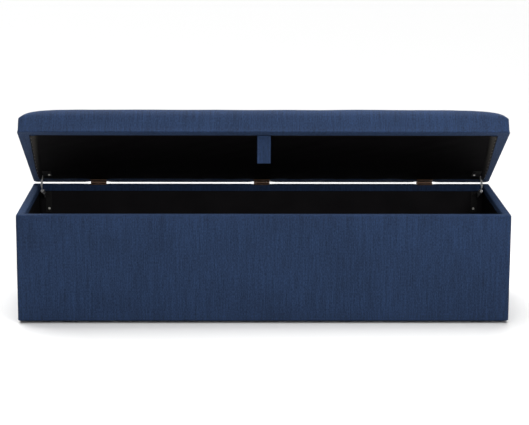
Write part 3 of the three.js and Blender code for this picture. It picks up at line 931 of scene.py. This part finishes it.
def settle(piece):
    # the foam pushes the cover out from inside, held where it is stapled under the lid
    mesh = piece.data
    before = np.array([vertex.co for vertex in mesh.vertices])
    isHeld = before[:, 2] < before[:, 2].min() + settleCloth["heldBelow"]
    held = [int(index) for index in np.flatnonzero(isHeld)]
    piece.vertex_groups.new(name="held").add(held, 1, "REPLACE")
    cloth = modifier(piece, "cloth", "CLOTH")
    for key, value in settleCloth["settings"].items():
        setattr(cloth.settings, key, value)
    cloth.settings.vertex_group_mass = "held"
    cloth.settings.effector_weights.gravity = 0
    for frameNumber in range(1, settleCloth["frames"] + 1):
        bpy.context.scene.frame_set(frameNumber)
    evaluated = piece.evaluated_get(bpy.context.evaluated_depsgraph_get())
    after = np.array([vertex.co for vertex in evaluated.data.vertices])
    piece.modifiers.clear()
    piece.vertex_groups.clear()
    bpy.context.scene.frame_set(1)
    moved = (after - before) * settleCloth["share"]
    far = np.linalg.norm(moved, axis=1)[:, None]
    capped = np.minimum(far, settleCloth["cap"] * np.tanh(far / settleCloth["cap"]))
    moved *= capped / np.maximum(far, 1e-9)
    mesh.vertices.foreach_set("co", (before + moved).ravel())
    mesh.update()


def makeLidCover():
    piece = makeLoaf("lidCover", "blue_fabric", 0, 0, lidSkirt(lidBox("lid_cover")[0].z))
    settle(piece)
    modifier(piece, "smoother", "SUBSURF", levels=1, render_levels=1)
    modifier(piece, "thickness", "SOLIDIFY", thickness=lid["cloth"], offset=-1)
    onLid(piece)
    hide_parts("lid_cover")


lidFoam = {"inset": 5 * mm, "drop": 6 * mm}


def makeLidFoam():
    skirt = [(0, z) for z in np.linspace(lid["edge"], lidBox("lid_foam")[0].z, 5)[1:]]
    piece = makeLoaf("lidFoam", "foam", lidFoam["inset"], lidFoam["drop"], skirt, closed=True)
    onLid(piece)
    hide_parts("lid_foam")


lidLining = {
    "frontNarrower": 9 * mm,
    "frontBack": 4 * mm,
    "rearBorder": 7 * mm,     # blue left showing along the hinge edge
    "hem": 6 * mm,
    "roll": 22 * mm,  # width of the fuller strip along each end
    "rollRise": 2.4 * mm,
    "slack": 0.9 * mm,
    "waves": (0.06, 0.35),
    "cloth": 0.4 * mm,
    "clear": 0.1 * mm,
    "rearEase": 12 * mm,      # it starts to follow the swollen border over this width
    "behindTab": (36 * mm, 105 * mm),
    "endWidth": 45 * mm,      # the part at each end with points closer together
    "counts": (70, 22, 120),  # rows, columns in an end part, columns between
}


def makeLidLining():
    low, high = lidBox("lid_lining")
    points = lidPoints("lid_lining")
    front = points[points[:, 1] < low.y + 1 * mm]
    rear = points[points[:, 1] > high.y - 1 * mm]
    frontHalf, rearHalf = front[:, 0].max() - lidLining["frontNarrower"], rear[:, 0].max()
    rows, endColumns, columns = lidLining["counts"]
    endWidth = lidLining["endWidth"]
    share = np.linspace(0, 1, rows)[:, None]
    half = frontHalf + (rearHalf - frontHalf) * share
    edge = np.linspace(0, endWidth, endColumns)[None, :]
    middle = np.linspace(0, 1, columns)[None, 1:-1]
    inner = -half + endWidth + 2 * (half - endWidth) * middle
    x = np.concatenate([-half + edge, inner, half - edge[:, ::-1]], axis=1)
    coverLow, coverHigh = lidBox("lid_cover")
    front, rear = low.y + lidLining["frontBack"], coverHigh.y - lidLining["rearBorder"]
    y = front + (rear - front) * share + 0 * x
    fromEnd = half - np.abs(x)
    fromFront = y - y.min()
    fromEdge = np.minimum(np.minimum(fromEnd, fromFront), y.max() - y)
    hem = 1 - np.clip((fromEdge - lidLining["hem"]) / (2 * mm), 0, 1)
    roll = np.sin(np.clip(fromEnd / lidLining["roll"], 0, 1) * math.pi) ** 0.7 * (1 - share * 0.6)
    loose = ripples(x, y, lidLining["waves"], 11) * lidLining["slack"] * np.clip(fromEdge / 0.05, 0, 1)
    clear = lidLining["clear"]
    nearRear = np.clip((y - high.y) / lidLining["rearEase"], 0, 1)
    rise = (hem * 0.5 * mm + roll * lidLining["rollRise"]) * (1 - nearRear)
    z = coverLow.z - clear - rise + np.clip(loose, -2 * mm, clear)
    flat = np.stack([x, y, np.full_like(x, coverLow.z)], axis=-1).reshape(-1, 3)
    swellUnder(flat)
    z = z + (flat[:, 2].reshape(x.shape) - coverLow.z) * nearRear
    for side in hingeNames:  # the hinge leaves lie on the cover, not on the lining
        first, last = lidBox(f"hinge_{side}_lid_leaf")
        apart = np.abs(x - (first.x + last.x) / 2) / (last.x - first.x)
        z = np.where((apart < 0.56) & (y > first.y - 4 * mm), coverLow.z + 0.15 * mm, z)
    wide, deep = lidLining["behindTab"]
    behindTab = np.exp(-(x / wide) ** 6) * np.exp(-(fromFront / deep) ** 6)
    z = z + (coverLow.z + clear - z) * behindTab
    grid = np.stack([x, y, z], axis=-1)
    piece = gridPiece("lidLining", grid, x, y, "black_lining", flip=True, edge=(fromEnd, fromFront))
    piece.data.materials[0] = lidLiningShaded
    path = []
    for row in range(3, len(grid) - 6, 5):
        for column in (2, grid.shape[1] - 3):
            path.append([grid[at, column] - [0, 0, staple["sink"]] for at in (row, row + 1)])
    onLid(makeStaples("lidStaples", path))
    modifier(piece, "thickness", "SOLIDIFY", thickness=lidLining["cloth"], offset=0)
    onLid(piece)
    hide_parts("lid_lining")
    area = (2 * half.mean(), y.max() - y.min())


tab = {
    "thickness": 2.6 * mm,
    "cloth": 1.1 * mm,
    "stitch": 4 * mm,  # from the edge to the line of stitches
    "stitchLength": 2.4 * mm,
    "stitchEvery": 3.6 * mm,
    "thread": 0.32 * mm,
    "bow": 0.8 * mm,
    "counts": (22, 9, 15),    # points down each face, round the fold and across
}


def makePullTab():
    low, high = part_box("pull_tab")
    middle = (low + high) / 2
    gap = tab["thickness"] / 2
    down, foldSteps, wide = tab["counts"]
    drop = [(gap, z) for z in np.linspace(high.z, low.z + gap, down)]
    fold = arc((0, low.z + gap), gap, 0, -180, foldSteps)[1:-1]
    rise = [(-gap, z) for z in np.linspace(low.z + gap, high.z, down)]
    path = np.array(drop + fold + rise)
    widths = np.linspace(low.x, high.x, wide)
    run = lengthAlong(path)
    fromTop = (high.z - path[:, 1]) / (high.z - low.z)
    press = np.interp(np.minimum(widths - low.x, high.x - widths), [0, tab["stitch"]], [0.45, 1])
    y = path[:, 0][:, None] * press[None, :] + middle.y
    y = y + np.sin(fromTop * math.pi)[:, None] * tab["bow"]
    across = np.tile(widths, (len(path), 1))
    points = np.stack([across, y, np.tile(path[:, 1][:, None], (1, wide))], axis=-1)
    up = np.tile(run[:, None], (1, wide))
    piece = gridPiece("pullTab", points, across, up, "blue_fabric")
    modifier(piece, "smoother", "SUBSURF", levels=1, render_levels=1)
    modifier(piece, "thickness", "SOLIDIFY", thickness=tab["cloth"], offset=0)
    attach(piece, "pull_tab")
    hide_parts("pull_tab")
    makeTabStitches(low, high, middle)


def makeTabStitches(low, high, middle):
    points, faces = [], []
    for facing in (-1, 1):
        for x in (low.x + tab["stitch"], high.x - tab["stitch"]):
            path = []
            for z in np.arange(high.z - 4 * mm, low.z + 4 * mm, -tab["stitchEvery"]):
                ends = []
                for at in (z, z - tab["stitchLength"]):
                    lean = math.sin((high.z - at) / (high.z - low.z) * math.pi) * tab["bow"]
                    y = middle.y + lean + facing * (tab["thickness"] / 2 * 0.98 + tab["cloth"] / 2)
                    ends.append((x, y, at))
                path.append(ends)
            more, moreFaces = stitchRow(path, (0, facing, 0), tab["thread"])
            faces += [[corner + len(points) for corner in face] for face in moreFaces]
            points += more
    piece = newPiece("tabStitches", points, faces, "blue_fabric")
    piece.data.materials[0] = threadBlue
    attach(piece, "pull_tab")


arm = {
    "width": 12 * mm,
    "metal": 1.7 * mm,
    "flange": 4.6 * mm,       # depth of the folded edges between the ends
    "taper": 9 * mm,
    "stations": (7, 26),      # points round each end, and along the arm
    "blunt": 0.12,  # where the round ends stop, in radians from the tip
    "profile": ((-1, 1), (-1, 0.5), (-1, 0.18), (-0.9, 0), (-0.45, 0), (0, 0)),   # across, and up the fold
}


def makeArm(side, level):
    node = f"stay_{side}_{level}_arm"
    low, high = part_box(node)
    rivetLow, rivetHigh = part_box(f"stay_{side}_elbow_rivet")
    pivot = next(joint for joint in frame["joints"] if joint["name"] == f"{side}_{level}_arm_pivot")
    start = Vector(pivot["pos_m"])
    end = (rivetLow + rivetHigh) / 2
    plate = (low.x + high.x) / 2
    outward = math.copysign(1, plate)
    fold = outward if level == "upper" else -outward
    along = Vector((0, end.y - start.y, end.z - start.z))
    length = along.length
    along.normalize()
    across = Vector((0, -along.z, along.y))
    half = arm["width"] / 2
    endSteps, steps = arm["stations"]
    tip = np.linspace(arm["blunt"], math.pi / 2, endSteps)
    stations = [-half * math.cos(a) for a in tip]
    stations += list(np.linspace(0, length, steps)[1:-1])
    stations += [length + half * math.cos(a) for a in tip[::-1]]
    profile = arm["profile"] + tuple((-v, depth) for v, depth in arm["profile"][-2::-1])
    rows = []
    for t in stations:
        beyond = max(-t, t - length, 0)
        w = math.sqrt(max(half ** 2 - beyond ** 2, 0))
        inside = min(t, length - t) - arm["taper"]
        rise = arm["flange"] * min(max(inside / arm["taper"], 0), 1) ** 0.7
        places = [Vector((plate + fold * rise * depth, start.y, start.z)) for _, depth in profile]
        rows.append([tuple(place + along * t + across * w * v) for place, (v, _) in zip(places, profile)])
    points = np.array(rows)
    flat = np.zeros(points.shape[:2])
    piece = gridPiece(f"{level}Arm{side.capitalize()}", points, flat, flat, "stay_steel")
    piece.data.polygons.foreach_set("use_smooth", [False] * len(piece.data.polygons))
    modifier(piece, "thickness", "SOLIDIFY", thickness=arm["metal"], offset=0, use_even_offset=False)
    modifier(piece, "softEdge", "BEVEL", width=0.3 * mm, segments=2, limit_method="ANGLE")
    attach(piece, f"{side}_{level}_arm")
    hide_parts(node)


nodeEdge = {"below": 90 * mm, "width": 0.25 * mm}   # parts smaller than this get softened edges


def dressNodes():
    slots = {row["node"]: row["material_slot"] for row in frame["record"]["subparts"]}
    for name, piece in nodes.items():
        # the brackets and each stay's second screw take the near-black metal as painted shade
        isShadedDark = "bracket" in name or (name.startswith("stay") and name.endswith("screw_2"))
        material = blackened if isShadedDark else finishes[slots[name]]
        piece.data.materials.clear()
        piece.data.materials.append(material)
        if max(piece.dimensions) < nodeEdge["below"]:
            modifier(piece, "softEdge", "BEVEL", width=nodeEdge["width"], segments=2, limit_method="ANGLE")


def addFloor():
    size = light["floorReach"]
    corners = [(-size, -size, 0), (size, -size, 0), (size, size, 0), (-size, size, 0)]
    mesh = bpy.data.meshes.new("floor")
    mesh.from_pydata(corners, [], [(0, 1, 2, 3)])
    mesh.materials.append(makeFloor())
    floor = bpy.data.objects.new("floor", mesh)
    bpy.context.scene.collection.objects.link(floor)


addCamera()
addWorld()
addLights()
addFloor()
print("stage: camera, light and floor")

dressNodes()
makeBaseCover()
for seed, node in enumerate(("lining_front", "lining_back", "lining_left", "lining_right", "lining_floor")):
    liningSheet("wellLining" + node.split("_")[1].capitalize(), node, 20 + seed)
liningSheet("dustCover", "dust_cover", 31)
makeDustStaples()
print("stage: box covered and lined")

makeLidFoam()
makeLidCover()
makeLidLining()
makePullTab()
for side in handed:
    makeArm(side, "lower")
    makeArm(side, "upper")
print("stage: lid made")
